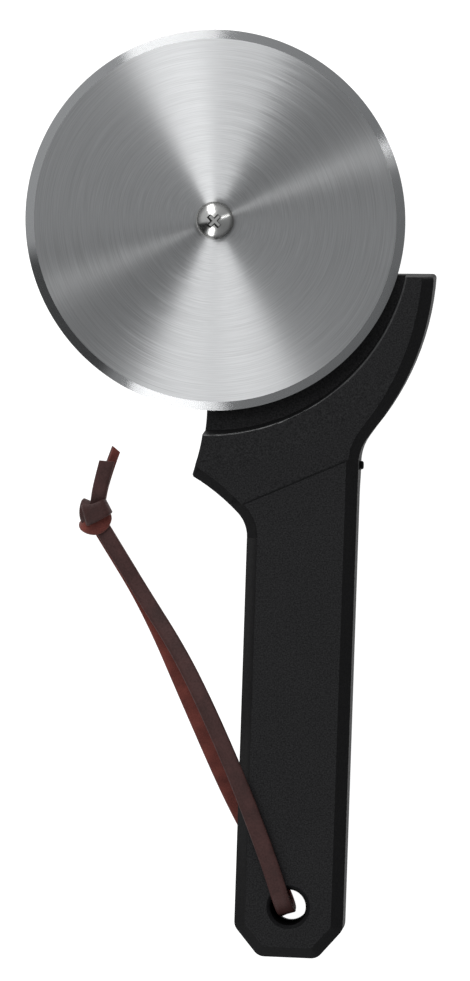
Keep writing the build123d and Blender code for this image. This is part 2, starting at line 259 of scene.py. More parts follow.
@dataclass(frozen=True)
class TurnedSteel(Finish):
    """Stainless knife steel, brushed as it turned, with its rim ground to an edge.

    The eye sees fine rings round the axle that draw each light out into a bright fan,
    and a smoother, brighter band where the rim was ground.
    """

    name: str = "turned stainless steel"
    dark: str = "#bcbdbe"
    light: str = "#d6d7d8"
    ground: str = "#b4b5b6"
    roughness: float = 0.42
    ground_roughness: float = 0.16
    roughness_play: float = 0.02
    anisotropy: float = 1.0
    # Turn of the shader's lines, in full turns, with what each brushed line strays from it
    across_the_rings: float = 0.25
    stray: float = 0.008
    # Brushing lines are near 0.05 mm; they are drawn this far apart to show in the render
    ring: float = 0.24 * MM
    ring_turns: float = 2.0
    ring_depth: float = 0.0008 * MM
    # The disc is dished: its face falls by this much of the way out
    dish: float = 0.035
    ground_from: float = 47.7 * MM

    def make(self) -> bpy.types.Material:
        """Make the material.

        Returns:
            The material.
        """
        material, tree, place = self.start()
        flat = add_node(
            tree, "ShaderNodeVectorMath", {0: place, 1: (1.0, 1.0, 0.0)}, operation="MULTIPLY"
        )
        reach = add_node(tree, "ShaderNodeVectorMath", {0: flat.outputs[0]}, operation="LENGTH")
        turn = add_node(
            tree, "ShaderNodeVectorMath", {0: flat.outputs[0]}, operation="NORMALIZE"
        )
        round_it = add_node(
            tree, "ShaderNodeVectorMath",
            {0: turn.outputs[0], "Scale": self.ring_turns}, operation="SCALE",
        )
        count = add_node(
            tree, "ShaderNodeMath", {0: reach.outputs["Value"], 1: 1 / self.ring},
            operation="MULTIPLY",
        )
        outward = add_node(tree, "ShaderNodeCombineXYZ", {"Z": count.outputs[0]})
        lines_at = add_node(
            tree, "ShaderNodeVectorMath", {0: round_it.outputs[0], 1: outward.outputs[0]},
            operation="ADD",
        )
        lines = add_node(
            tree, "ShaderNodeTexNoise",
            {"Vector": lines_at.outputs[0], "Scale": 1.0, "Detail": 3.0, "Roughness": 0.7},
        )
        is_ground = add_node(
            tree, "ShaderNodeMath", {0: reach.outputs["Value"], 1: self.ground_from},
            operation="GREATER_THAN",
        )
        tone = add_node(
            tree, "ShaderNodeMapRange",
            {"Value": lines.outputs["Fac"], **NOISE_MIDDLE},
        )
        brushed = add_node(
            tree, "ShaderNodeMix",
            {0: tone.outputs[0], 6: linear(self.dark), 7: linear(self.light)},
            data_type="RGBA",
        )
        colour = add_node(
            tree, "ShaderNodeMix",
            {0: is_ground.outputs[0], 6: brushed.outputs[2], 7: linear(self.ground)},
            data_type="RGBA",
        )
        rough_lines = add_node(
            tree, "ShaderNodeMapRange",
            {
                "Value": lines.outputs["Fac"], **NOISE_MIDDLE,
                "To Min": self.roughness - self.roughness_play,
                "To Max": self.roughness + self.roughness_play,
            },
        )
        rough = add_node(
            tree, "ShaderNodeMix",
            {0: is_ground.outputs[0], 2: rough_lines.outputs[0], 3: self.ground_roughness},
        )
        turned = add_node(
            tree, "ShaderNodeMapRange",
            {
                "Value": lines.outputs["Fac"], **NOISE_MIDDLE,
                "To Min": self.across_the_rings - self.stray,
                "To Max": self.across_the_rings + self.stray,
            },
        )
        fall = add_node(
            tree, "ShaderNodeMath",
            {0: reach.outputs["Value"], 1: -self.dish / self.ring_depth, 2: lines.outputs["Fac"]},
            operation="MULTIPLY_ADD",
        )
        bump = add_node(
            tree, "ShaderNodeBump",
            {"Height": fall.outputs[0], "Distance": self.ring_depth, "Strength": 1.0},
        )
        round_axis = add_node(tree, "ShaderNodeTangent", {}, direction_type="RADIAL", axis="Z")
        self.close(tree, {
            "Base Color": colour.outputs[2], "Metallic": 1.0, "Roughness": rough.outputs[0],
            "Anisotropic": self.anisotropy, "Anisotropic Rotation": turned.outputs[0],
            "Tangent": round_axis.outputs[0], "Normal": bump.outputs[0],
        })
        return material


@dataclass(frozen=True)
class PolishedSteel(Finish):
    """Stainless steel, cold headed and tumbled bright.

    The eye sees clear reflections, softened by the faint marks of tumbling.
    """

    name: str = "polished stainless steel"
    colour: str = "#cfcfcd"
    smoothest: float = 0.17
    roughest: float = 0.27
    mark: float = 0.6 * MM
    clean_at: float = 0.3
    marked_at: float = 0.75

    def make(self) -> bpy.types.Material:
        """Make the material.

        Returns:
            The material.
        """
        material, tree, place = self.start()
        marks = add_node(
            tree, "ShaderNodeTexNoise",
            {"Vector": place, "Scale": 1 / self.mark, "Detail": 4.0, "Roughness": 0.7},
        )
        rough = add_node(
            tree, "ShaderNodeMapRange",
            {
                "Value": marks.outputs["Fac"], "From Min": self.clean_at,
                "From Max": self.marked_at, "To Min": self.smoothest, "To Max": self.roughest,
            },
        )
        self.close(tree, {
            "Base Color": linear(self.colour), "Metallic": 1.0, "Roughness": rough.outputs[0],
        })
        return material


@dataclass(frozen=True)
class NaturalNylon(Finish):
    """Unpigmented nylon, turned from bar.

    The eye sees a milky off-white that lets a little light into its edges.
    """

    name: str = "natural nylon"
    colour: str = "#dedbd2"
    ior: float = 1.53
    roughness: float = 0.42
    cloud: float = 1.5 * MM
    depth: float = 0.01 * MM

    def make(self) -> bpy.types.Material:
        """Make the material.

        Returns:
            The material.
        """
        material, tree, place = self.start()
        cloud = add_node(
            tree, "ShaderNodeTexNoise",
            {"Vector": place, "Scale": 1 / self.cloud, "Detail": 2.0},
        )
        bump = add_node(
            tree, "ShaderNodeBump", {"Height": cloud.outputs["Fac"], "Distance": self.depth}
        )
        self.close(tree, {
            "Base Color": linear(self.colour), "Roughness": self.roughness, "IOR": self.ior,
            "Normal": bump.outputs[0],
        })
        return material


@dataclass(frozen=True)
class Leather(Finish):
    """Dyed cowhide lace, cut from a side of leather with a blade.

    The grain side shows a close, nearly smooth skin with pores. The flesh side is
    brushed suede, redder and rougher, and the cut edge is paler and fibrous.
    """

    dark: str = "#351f1d"
    light: str = "#472b29"
    gloss: float = 0.3
    roughness: float = 0.58
    roughness_play: float = 0.10
    pore: float = 0.55 * MM
    pore_depth: float = 0.05 * MM
    patch: float = 5.0 * MM
    darkest_at: float = 0.75
    lightest_at: float = 1.25
    sheen: float = 0.0
    ior: float = 1.5

    def make(self) -> bpy.types.Material:
        """Make the material.

        Returns:
            The material.
        """
        material, tree, place = self.start()
        pores = add_node(
            tree, "ShaderNodeTexNoise",
            {"Vector": place, "Scale": 1 / self.pore, "Detail": 4.0, "Roughness": 0.65},
        )
        patches = add_node(
            tree, "ShaderNodeTexNoise",
            {"Vector": place, "Scale": 1 / self.patch, "Detail": 2.0, "Roughness": 0.5},
        )
        mix = add_node(
            tree, "ShaderNodeMath",
            {0: pores.outputs["Fac"], 1: patches.outputs["Fac"]}, operation="ADD",
        )
        tone = add_node(
            tree, "ShaderNodeMapRange",
            {
                "Value": mix.outputs[0], "From Min": self.darkest_at,
                "From Max": self.lightest_at,
            },
        )
        colour = add_node(
            tree, "ShaderNodeMix",
            {0: tone.outputs[0], 6: linear(self.dark), 7: linear(self.light)},
            data_type="RGBA",
        )
        rough = add_node(
            tree, "ShaderNodeMapRange",
            {
                "Value": pores.outputs["Fac"], **NOISE_MIDDLE,
                "To Min": self.roughness + self.roughness_play,
                "To Max": self.roughness - self.roughness_play,
            },
        )
        bump = add_node(
            tree, "ShaderNodeBump",
            {"Height": pores.outputs["Fac"], "Distance": self.pore_depth, "Strength": 1.0},
        )
        self.close(tree, {
            "Base Color": colour.outputs[2], "Roughness": rough.outputs[0], "IOR": self.ior,
            "Specular IOR Level": self.gloss, "Sheen Weight": self.sheen,
            "Normal": bump.outputs[0],
        })
        return material


@dataclass(frozen=True)
class PaleSheet(Finish):
    """Opal acrylic top of a photographer's light table.

    The eye sees an even white with no gloss and hardly any shadow.
    """

    name: str = "opal acrylic sheet"
    dark: str = "#8e8e8d"
    light: str = "#969695"
    glow_colour: str = "#ffffff"
    glow: float = 1.0
    roughness: float = 0.9
    cloud: float = 120.0 * MM

    def make(self) -> bpy.types.Material:
        """Make the material.

        Returns:
            The material.
        """
        material, tree, place = self.start()
        cloud = add_node(
            tree, "ShaderNodeTexNoise", {"Vector": place, "Scale": 1 / self.cloud}
        )
        colour = add_node(
            tree, "ShaderNodeMix",
            {0: cloud.outputs["Fac"], 6: linear(self.dark), 7: linear(self.light)},
            data_type="RGBA",
        )
        self.close(tree, {
            "Base Color": colour.outputs[2], "Roughness": self.roughness,
            "Emission Color": linear(self.glow_colour), "Emission Strength": self.glow,
        })
        return material


@dataclass(frozen=True)
class Finishes:
    """The materials of the whole wheel, made once."""

    nylon: bpy.types.Material
    smooth_nylon: bpy.types.Material
    dulled_nylon: bpy.types.Material
    rubbed_nylon: bpy.types.Material
    blade: bpy.types.Material
    steel: bpy.types.Material
    recess: bpy.types.Material
    washer: bpy.types.Material
    grain: bpy.types.Material
    flesh: bpy.types.Material
    cut_edge: bpy.types.Material

    @classmethod
    def made(cls) -> "Finishes":
        """Make every finish of the wheel.

        Returns:
            The set of finishes.
        """
        return cls(
            nylon=MouldedNylon().make(),
            # Bevels and walls: smoother and less glossy, and a darker colour that is painted
            # shade
            smooth_nylon=MouldedNylon(
                "moulded black nylon, smooth, painted shade", dark="#0e0e0f", light="#19191a", gloss=0.05,
                smoothest=0.5, roughest=0.6, grain_depth=0.008 * MM,
            ).make(),
            # Hanging hole's wall: no gloss, and a near-black colour that is painted shade
            dulled_nylon=MouldedNylon(
                "moulded black nylon, hole wall, painted shade", dark="#060606", light="#0c0c0c",
                gloss=0.0, smoothest=0.7, roughest=0.8, grain_depth=0.02 * MM,
            ).make(),
            # Pocket's rim: glossier and smoother, with a paler colour that is a painted highlight
            rubbed_nylon=MouldedNylon(
                "moulded black nylon, rim, painted highlight", dark="#222223", light="#343435",
                gloss=0.5, smoothest=0.28, roughest=0.36, grain_depth=0.004 * MM,
            ).make(),
            blade=TurnedSteel().make(),
            steel=PolishedSteel().make(),
            # Walls of the screw's recess: rougher, and a near-black colour that is painted shade
            recess=PolishedSteel(
                "steel in the recess, painted shade", colour="#2a2a29", smoothest=0.35, roughest=0.5,
            ).make(),
            washer=NaturalNylon().make(),
            grain=Leather("leather grain side").make(),
            flesh=Leather(
                "leather flesh side", dark="#51241f", light="#743930", roughness=0.85,
                roughness_play=0.05, pore=0.35 * MM, pore_depth=0.09 * MM, sheen=0.15,
            ).make(),
            cut_edge=Leather(
                "leather cut edge", dark="#3d2522", light="#5c3b36", roughness=0.8,
                roughness_play=0.08, pore=0.3 * MM, pore_depth=0.06 * MM,
            ).make(),
        )


def new_piece(name: str, mesh: bmesh.types.BMesh, materials: Materials) -> bpy.types.Object:
    """Turn a finished bmesh into a piece of the scene.

    Args:
        name: Name of the piece.
        mesh: The shape, which is freed.
        materials: Materials in the order of the faces' numbers.

    Returns:
        The object, at the origin.
    """
    data = bpy.data.meshes.new(name)
    mesh.to_mesh(data)
    mesh.free()
    for material in materials:
        data.materials.append(material)
    piece = bpy.data.objects.new(name, data)
    bpy.context.scene.collection.objects.link(piece)
    return piece


def hand_over(
    piece: bpy.types.Object, body: Body, replaced: tuple[str, ...] = ()
) -> bpy.types.Object:
    """Ride a piece on its body and the nodes that it stands for.

    Args:
        piece: The finished piece.
        body: Body that it rides on.
        replaced: CAD nodes that it stands for.

    Returns:
        The piece.
    """
    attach(piece, body.value)
    if replaced:
        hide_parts(*replaced)
    log.info("%s: %d faces on %s", piece.name, len(piece.data.polygons), body.value)
    return piece


def shade_by_angle(mesh: bmesh.types.BMesh, sharp_from: float) -> None:
    """Shade faces smoothly and keep the edges that turn by more than an angle crisp.

    Args:
        mesh: The shell.
        sharp_from: The angle, in radians.
    """
    for face in mesh.faces:
        face.smooth = True
    for edge in mesh.edges:
        edge.smooth = len(edge.link_faces) == 2 and edge.calc_face_angle() < sharp_from


@dataclass
class Joinery:
    """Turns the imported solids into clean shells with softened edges."""

    weld: float = 0.002 * MM
    flat_within: float = math.radians(0.4)
    sharp_from: float = math.radians(28)
    # Two faces wider than this stay flat beside each other from a slight turn on
    wide_face: float = 100.0 * MM * MM
    slight_turn: float = math.radians(1.0)
    shortest_edge: float = 0.5 * MM
    flats: int = 2

    def shell(self, node: str) -> bmesh.types.BMesh:
        """Copy a node's triangles, weld them and join the flat ones.

        Args:
            node: Name of the CAD node.

        Returns:
            The welded shell.
        """
        mesh = bmesh.new()
        mesh.from_mesh(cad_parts[node].data)
        bmesh.ops.remove_doubles(mesh, verts=mesh.verts, dist=self.weld)
        bmesh.ops.dissolve_limit(
            mesh, angle_limit=self.flat_within, verts=mesh.verts, edges=mesh.edges,
            use_dissolve_boundaries=False, delimit={"NORMAL"},
        )
        return mesh

    def round_off(
        self, mesh: bmesh.types.BMesh, edges: Edges, rounding: float, segments: int
    ) -> None:
        """Round chosen edges.

        Args:
            mesh: The shell.
            edges: Its edges to round.
            rounding: Distance of the rounding's ends from each edge.
            segments: Flats that each rounding is made of.
        """
        bmesh.ops.bevel(
            mesh, geom=edges, offset=rounding, offset_type="OFFSET", segments=segments,
            profile=0.5, affect="EDGES", clamp_overlap=False, loop_slide=True,
            material=-1,
        )

    def open_edges(self, mesh: bmesh.types.BMesh) -> Edges:
        """Find the sharp edges with room for a rounding beside them.

        Args:
            mesh: The shell.

        Returns:
            Those edges.
        """
        return [
            edge for edge in mesh.edges
            if edge.calc_face_angle() > self.sharp_from and all(
                near.calc_length() > self.shortest_edge
                for corner in edge.verts for near in corner.link_edges
            )
        ]

    def shade(self, mesh: bmesh.types.BMesh) -> None:
        """Shade smoothly, but crisply at sharp edges and between wide flat faces.

        Args:
            mesh: The shell.
        """
        shade_by_angle(mesh, self.sharp_from)
        for edge in mesh.edges:
            areas = [face.calc_area() for face in edge.link_faces]
            if min(areas) > self.wide_face and edge.calc_face_angle() > self.slight_turn:
                edge.smooth = False

    def dressed(
        self, node: str, name: str, materials: Materials, body: Body,
        rounding: float = 0.0, mesh: bmesh.types.BMesh | None = None,
    ) -> bpy.types.Object:
        """Make the piece that stands for a node, with its edges rounded.

        Args:
            node: Name of the CAD node.
            name: Name of the new piece.
            materials: Its finishes, in the order of the faces' numbers.
            body: Body that it rides on.
            rounding: Width of the rounding along its sharp edges.
            mesh: Its shell, where some of it is shaped already.

        Returns:
            The new piece.
        """
        mesh = mesh or self.shell(node)
        if rounding:
            self.round_off(mesh, self.open_edges(mesh), rounding, self.flats)
        self.shade(mesh)
        piece = new_piece(name, mesh, materials)
        even = piece.modifiers.new("flat faces stay flat", "WEIGHTED_NORMAL")
        even.keep_sharp = True
        return hand_over(piece, body, (node,))


@dataclass
class Handle:
    """The moulded handle with what closes it from behind."""

    edge_rounding: float = 0.2 * MM
    cover_rounding: float = 0.15 * MM
    # The outline's two free corners, in the head's plane, with their roundings
    guard_corner: tuple[float, float] = (57.7 * MM, -14.3 * MM)
    guard_rounding: float = 1.1 * MM
    tip_corner: tuple[float, float] = (-6.0 * MM, -67.0 * MM)
    tip_rounding: float = 0.7 * MM
    corner_reach: float = 4.5 * MM
    # The shallow step across the neck, from its left end to its right
    crease: tuple[tuple[float, float], ...] = ((8.7 * MM, -73.7 * MM), (35.0 * MM, -62.5 * MM))
    crease_rounding: float = 0.32 * MM
    crease_depth: float = 0.1 * MM
    crease_within: float = 0.5 * MM
    crease_turn: float = math.radians(60)
    # The pocket's rounded rim, whose coarse flats are made finer
    front: float = 14.0 * MM
    rim_centre: tuple[float, float] = (-1.5 * MM, -2.75 * MM)
    rim_reach: tuple[float, float] = (52.5 * MM, 54.5 * MM)
    rim_flat: float = 0.14 * MM
    ridge_depth: tuple[float, float] = (0.02 * MM, 0.35 * MM)
    ridge_turn: tuple[float, float] = (math.radians(30), math.radians(60))
    # The moulding gate's stub on the right wall
    gate_face: float = 38.95 * MM
    gate_middle: tuple[float, float] = (-64.3 * MM, 6.5 * MM)
    gate_reach: float = 1.8 * MM
    gate_within: float = 0.02 * MM
    gate_rounding: float = 0.4 * MM
    # A face is a front face from this height of its unit normal on
    level_from: float = 0.985
    hole_centre: tuple[float, float] = (19.7 * MM, -180.44 * MM)
    hole_reach: float = 4.9 * MM
    rim_depth: float = 0.5 * MM
    corner_flats: int = 4
    fine_flats: int = 3

    def shell(self, joinery: Joinery) -> bmesh.types.BMesh:
        """Copy the moulding and round what the CAD leaves sharp or coarse.

        Args:
            joinery: Maker of the clean shells.

        Returns:
            The shell, with its faces numbered.
        """
        mesh = joinery.shell("handle_shell")
        for corner, rounding in (
            (self.guard_corner, self.guard_rounding), (self.tip_corner, self.tip_rounding),
        ):
            upright = [
                edge for edge in mesh.edges
                if abs(edge.verts[0].co.z - edge.verts[1].co.z) > MM
                and edge.calc_face_angle() > joinery.sharp_from
                and all((end.co.xy - Vector(corner)).length < self.corner_reach
                        for end in edge.verts)
            ]
            joinery.round_off(mesh, upright, rounding, self.corner_flats)
        stub = [
            edge for edge in mesh.edges
            if all(abs(end.co.x - self.gate_face) < self.gate_within
                   and (end.co.yz - Vector(self.gate_middle)).length < self.gate_reach
                   for end in edge.verts)
        ]
        joinery.round_off(mesh, stub, self.gate_rounding, self.fine_flats)
        joinery.round_off(
            mesh, self.crease_edges(mesh), self.crease_rounding, self.fine_flats
        )
        joinery.round_off(mesh, self.rim_edges(mesh), self.rim_flat, joinery.flats)
        return self.name_faces(mesh)

    def crease_edges(self, mesh: bmesh.types.BMesh) -> Edges:
        """Find the upper edge of the step across the neck.

        Args:
            mesh: The handle's shell.

        Returns:
            The edges along it.
        """
        start, stop = (Vector(end) for end in self.crease)
        along = (stop - start).normalized()
        return [
            edge for edge in mesh.edges
            if edge.calc_length() > self.front / 2
            and edge.calc_face_angle() > self.crease_turn
            and all(end.co.z > self.front - self.crease_depth
                    and abs((end.co.xy - start).cross(along)) < self.crease_within
                    for end in edge.verts)
        ]

    def rim_edges(self, mesh: bmesh.types.BMesh) -> Edges:
        """Find the ridge in the middle of the pocket's coarsely rounded rim.

        Args:
            mesh: The handle's shell.

        Returns:
            The edges along it.
        """
        low, high = self.rim_reach
        shallow, deep = self.ridge_depth
        least, most = self.ridge_turn
        return [
            edge for edge in mesh.edges
            if least < edge.calc_face_angle() < most
            and all(self.front - deep < end.co.z < self.front - shallow
                    and low < (end.co.xy - Vector(self.rim_centre)).length < high
                    for end in edge.verts)
        ]

    def name_faces(self, mesh: bmesh.types.BMesh) -> bmesh.types.BMesh:
        """Number the faces for their finishes: the front, the bevels and walls in painted shade,
        the hanging hole's wall in painted shade and the pocket's rim with a painted highlight.

        Args:
            mesh: The handle's shell.

        Returns:
            The same shell.
        """
        low, high = self.rim_reach
        for face in mesh.faces:
            middle = face.calc_center_median()
            if face.normal.z > self.level_from:
                kind = HandleFace.FRONT
            # The hanging hole's wall is drawn near-black, as painted shade
            elif (middle.xy - Vector(self.hole_centre)).length < self.hole_reach:
                kind = HandleFace.HOLE_WALL
            # The pocket's rim is drawn paler, as a painted highlight
            elif (middle.z > self.front - self.rim_depth
                  and low < (middle.xy - Vector(self.rim_centre)).length < high):
                kind = HandleFace.POCKET_RIM
            else:
                # Bevels and walls are drawn darker than the front, as painted shade
                kind = HandleFace.SMOOTH_PAINTED_SHADE
            face.material_index = kind.value
        return mesh

    def build(self, finishes: Finishes, joinery: Joinery) -> list[bpy.types.Object]:
        """Build and dress the handle's pieces.

        Args:
            finishes: The wheel's materials.
            joinery: Maker of the clean shells.

        Returns:
            The pieces.
        """
        nylon, steel = [finishes.smooth_nylon], [finishes.steel]
        moulded = [finishes.nylon, *nylon, finishes.dulled_nylon, finishes.rubbed_nylon]
        body = Body.HANDLE
        return [
            joinery.dressed(
                "handle_shell", "handle", moulded, body, self.edge_rounding,
                self.shell(joinery),
            ),
            joinery.dressed(
                "back_cover", "grip_cover", nylon, body, self.cover_rounding
            ),
            joinery.dressed("nut_cap", "axle_cap", nylon, body),
            joinery.dressed("cover_screws", "grip_cover_screws", steel, body),
        ]


@dataclass
class Axle:
    """Screw, sleeve, washers and lock nut that carry the blade."""

    recess_reach: float = 2.4 * MM
    recess_floor: float = 10.95 * MM
    # A face is a wall below this height of its unit normal
    steep: float = 0.6

    def screw_shell(self, joinery: Joinery) -> bmesh.types.BMesh:
        """Copy the screw and number the recess's walls 1, for their near-black painted shade.

        Args:
            joinery: Maker of the clean shells.

        Returns:
            The screw's shell.
        """
        mesh = joinery.shell("axle_screw")
        for face in mesh.faces:
            middle = face.calc_center_median()
            inside = middle.xy.length < self.recess_reach and middle.z > self.recess_floor
            if inside and abs(face.normal.z) < self.steep:
                face.material_index = 1
        return mesh

    def build(self, finishes: Finishes, joinery: Joinery) -> list[bpy.types.Object]:
        """Build and dress the axle's pieces.

        Args:
            finishes: The wheel's materials.
            joinery: Maker of the clean shells.

        Returns:
            The pieces.
        """
        steel, washer = [finishes.steel], [finishes.washer]
        body = Body.HANDLE
        return [
            joinery.dressed(
                "axle_screw", "screw", steel + [finishes.recess], body,
                mesh=self.screw_shell(joinery),
            ),
            joinery.dressed("axle_sleeve", "sleeve", steel, body),
            joinery.dressed("lock_nut", "nut", steel, body),
            joinery.dressed("lock_nut_ring", "nut_ring", washer, body),
            joinery.dressed("front_washer", "washer_front", washer, body),
            joinery.dressed("rear_washer", "washer_rear", washer, body),
        ]


@dataclass
class Blade:
    """The round blade, spun from its own section."""

    bore: float = 3.05 * MM
    radius: float = 50.0 * MM
    ground_width: float = 2.3 * MM
    rim: float = 0.3 * MM
    steps: int = 288
    sharp_from: float = math.radians(7)
    weld: float = 0.001 * MM

    def build(self, finishes: Finishes) -> bpy.types.Object:
        """Spin the section round the axle and dress it.

        Args:
            finishes: The wheel's materials.

        Returns:
            The blade.
        """
        low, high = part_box("blade")
        middle = (low.z + high.z) / 2
        ground_from = self.radius - self.ground_width
        section = [
            (self.bore, low.z),
            (ground_from, low.z),
            (self.radius, middle - self.rim / 2),
            (self.radius, middle + self.rim / 2),
            (ground_from, high.z),
            (self.bore, high.z),
        ]
        mesh = bmesh.new()
        corners = [mesh.verts.new((reach, 0, height)) for reach, height in section]
        edges = [mesh.edges.new(pair) for pair in zip(corners, corners[1:] + corners[:1])]
        bmesh.ops.spin(
            mesh, geom=corners + edges, cent=(0, 0, 0), axis=(0, 0, 1), angle=math.tau,
            steps=self.steps, use_merge=True,
        )
        bmesh.ops.remove_doubles(mesh, verts=mesh.verts, dist=self.weld)
        bmesh.ops.recalc_face_normals(mesh, faces=mesh.faces)
        shade_by_angle(mesh, self.sharp_from)
        piece = new_piece("cutting_disc", mesh, [finishes.blade])
        return hand_over(piece, Body.BLADE, ("blade",))


def smooth_line(points: list[Vector], steps: int) -> list[Vector]:
    """Follow a NURBS spline that has the points as its control points.

    Args:
        points: Control points in metres.
        steps: Points read from the spline for each control point.

    Returns:
        Points along the spline, from its first end to its last.
    """
    curve = bpy.data.curves.new("line", "CURVE")
    curve.dimensions = "3D"
    curve.resolution_u = steps
    spline = curve.splines.new("NURBS")
    spline.points.add(len(points) - 1)
    for control, point in zip(spline.points, points):
        control.co = (*point, 1.0)
    spline.order_u = 3
    spline.use_endpoint_u = True
    carrier = bpy.data.objects.new("line", curve)
    bpy.context.scene.collection.objects.link(carrier)
    read = bpy.data.meshes.new_from_object(carrier)
    line = [vertex.co.copy() for vertex in read.vertices]
    bpy.data.objects.remove(carrier)
    bpy.data.meshes.remove(read)
    bpy.data.curves.remove(curve)
    return line


@dataclass
class Strip:
    """A length of flat leather lace along a line, with grain, flesh and cut edges."""

    name: str
    route: list[tuple[float, float, float]]
    side_up: LeatherSide
    width: float = 4.5 * MM
    thickness: float = 1.4 * MM
    edge_rounding: float = 0.28 * MM
    steps: int = 16
    # Turn of the section about the line, in degrees, at even spaces from first to last
    rolls: tuple[float, ...] = (0.0,)
    # Share of the full width, at even spaces from first to last
    widths: tuple[float, ...] = (1.0,)
    # Slant of the last end's cut in degrees, its right side longer where positive
    slant: float = 0.0
    sharp_from: float = math.radians(50)
    # A face is on a flat side where its middle is past this share of the edges' rounding
    flat_share: float = 0.75

    def line(self) -> list[Vector]:
        """Return the points of the strip's middle line, in metres."""
        return smooth_line([Vector(point) * MM for point in self.route], self.steps)

    def section(self) -> list[tuple[float, float]]:
        """List the corners of the section, round from the lower right.

        Returns:
            Across and up of each corner.
        """
        across, up = self.width / 2, self.thickness / 2
        inner = across - self.edge_rounding
        level = up - self.edge_rounding
        middle = inner / 2
        right = [(middle, -up), (inner, -up), (across, -level), (across, level), (inner, up)]
        top = [(middle, up), (0.0, up), (-middle, up)]
        left = [(-x, -y) for x, y in right[1:]]
        bottom = [(-middle, -up), (0.0, -up)]
        return right + top + left + bottom

    def frames(self, line: list[Vector]) -> list[tuple[Vector, Vector]]:
        """Carry the section's directions along the line without twist.

        They are carried both ways from the middle, where the upper side looks up.

        Args:
            line: Points of the middle line.

        Returns:
            Across and up directions at each point.
        """
        runs = [(b - a).normalized() for a, b in zip(line, line[1:])]
        along = [runs[0]] + [(a + b).normalized() for a, b in zip(runs, runs[1:])] + [runs[-1]]
        middle = len(along) // 2
        first = along[middle].cross(Vector((0, 0, 1))).normalized()
        found = {}
        for order in (range(middle, len(along)), range(middle, -1, -1)):
            across = first
            for number in order:
                across = (across - along[number] * across.dot(along[number])).normalized()
                found[number] = (across, across.cross(along[number]).normalized())
        return [found[number] for number in range(len(along))]

    def build(self, finishes: Finishes) -> bpy.types.Object:
        """Draw the section along the line, ring by ring, and close both ends.

        Args:
            finishes: The wheel's materials.

        Returns:
            The strip.
        """
        line = self.line()
        frames = self.frames(line)
        mesh = bmesh.new()
        place = mesh.verts.layers.float_vector.new("section")
        ring = []
        for across, up in self.section():
            corner = mesh.verts.new((0, 0, 0))
            corner[place] = (across, up, 0)
            ring.append(corner)
        edges = [mesh.edges.new(pair) for pair in zip(ring, ring[1:] + ring[:1])]
        self.lay(ring, place, line, frames, 0)
        first = list(edges)
        for number in range(1, len(line)):
            grown = bmesh.ops.extrude_edge_only(mesh, edges=edges)["geom"]
            ring = [part for part in grown if isinstance(part, bmesh.types.BMVert)]
            edges = [part for part in grown if isinstance(part, bmesh.types.BMEdge)]
            edges = [edge for edge in edges if all(end in ring for end in edge.verts)]
            self.lay(ring, place, line, frames, number)
        for rim in (first, edges):
            bmesh.ops.edgeloop_fill(mesh, edges=rim)
        bmesh.ops.recalc_face_normals(mesh, faces=mesh.faces)
        self.name_sides(mesh, place)
        shade_by_angle(mesh, self.sharp_from)
        sides = [finishes.grain, finishes.flesh, finishes.cut_edge]
        if self.side_up is LeatherSide.FLESH:
            sides[:2] = sides[1::-1]
        return new_piece(self.name, mesh, sides)

    def share(self, values: tuple[float, ...], number: int, count: int) -> float:
        """Ease between evenly spaced values.

        Args:
            values: The values, from the first ring to the last.
            number: Number of the ring.
            count: How many rings there are.

        Returns:
            The value at that ring.
        """
        at = number / max(count - 1, 1) * (len(values) - 1)
        low = min(int(at), len(values) - 1)
        high = min(low + 1, len(values) - 1)
        blend = at - low
        blend = blend * blend * (3 - 2 * blend)
        return values[low] * (1 - blend) + values[high] * blend

    def lay(
        self, ring: list[bmesh.types.BMVert], place: bmesh.types.BMLayerItem,
        line: list[Vector], frames: list[tuple[Vector, Vector]], number: int,
    ) -> None:
        """Put one ring of the section at its point of the line.

        Args:
            ring: Corners of the ring.
            place: Layer that holds each corner's place in the section.
            line: Points of the middle line.
            frames: Across and up directions at each point.
            number: Number of the ring's point.
        """
        across, up = frames[number]
        roll = math.radians(self.share(self.rolls, number, len(line)))
        wide = self.share(self.widths, number, len(line))
        side = across * math.cos(roll) + up * math.sin(roll)
        over = up * math.cos(roll) - across * math.sin(roll)
        along = up.cross(across)
        drawn_out = max(2 * number / (len(line) - 1) - 1, 0) * math.tan(math.radians(self.slant))
        for corner in ring:
            spot = corner[place]
            beside = (side + along * drawn_out) * (spot[0] * wide)
            corner.co = line[number] + beside + over * spot[1]

    def name_sides(self, mesh: bmesh.types.BMesh, place: bmesh.types.BMLayerItem) -> None:
        """Number the faces by the side of the leather that they are on.

        The two ends are the only faces with more than four corners, and they are cut.

        Args:
            mesh: The strip's mesh.
            place: Layer that holds each corner's place in the section.
        """
        flat = self.thickness / 2 - self.edge_rounding * self.flat_share
        for face in mesh.faces:
            height = sum(corner[place][1] for corner in face.verts) / len(face.verts)
            kind = StripFace.EDGE
            if len(face.verts) == 4 and height > flat:
                kind = StripFace.UPPER
            elif len(face.verts) == 4 and height < -flat:
                kind = StripFace.LOWER
            face.material_index = kind.value


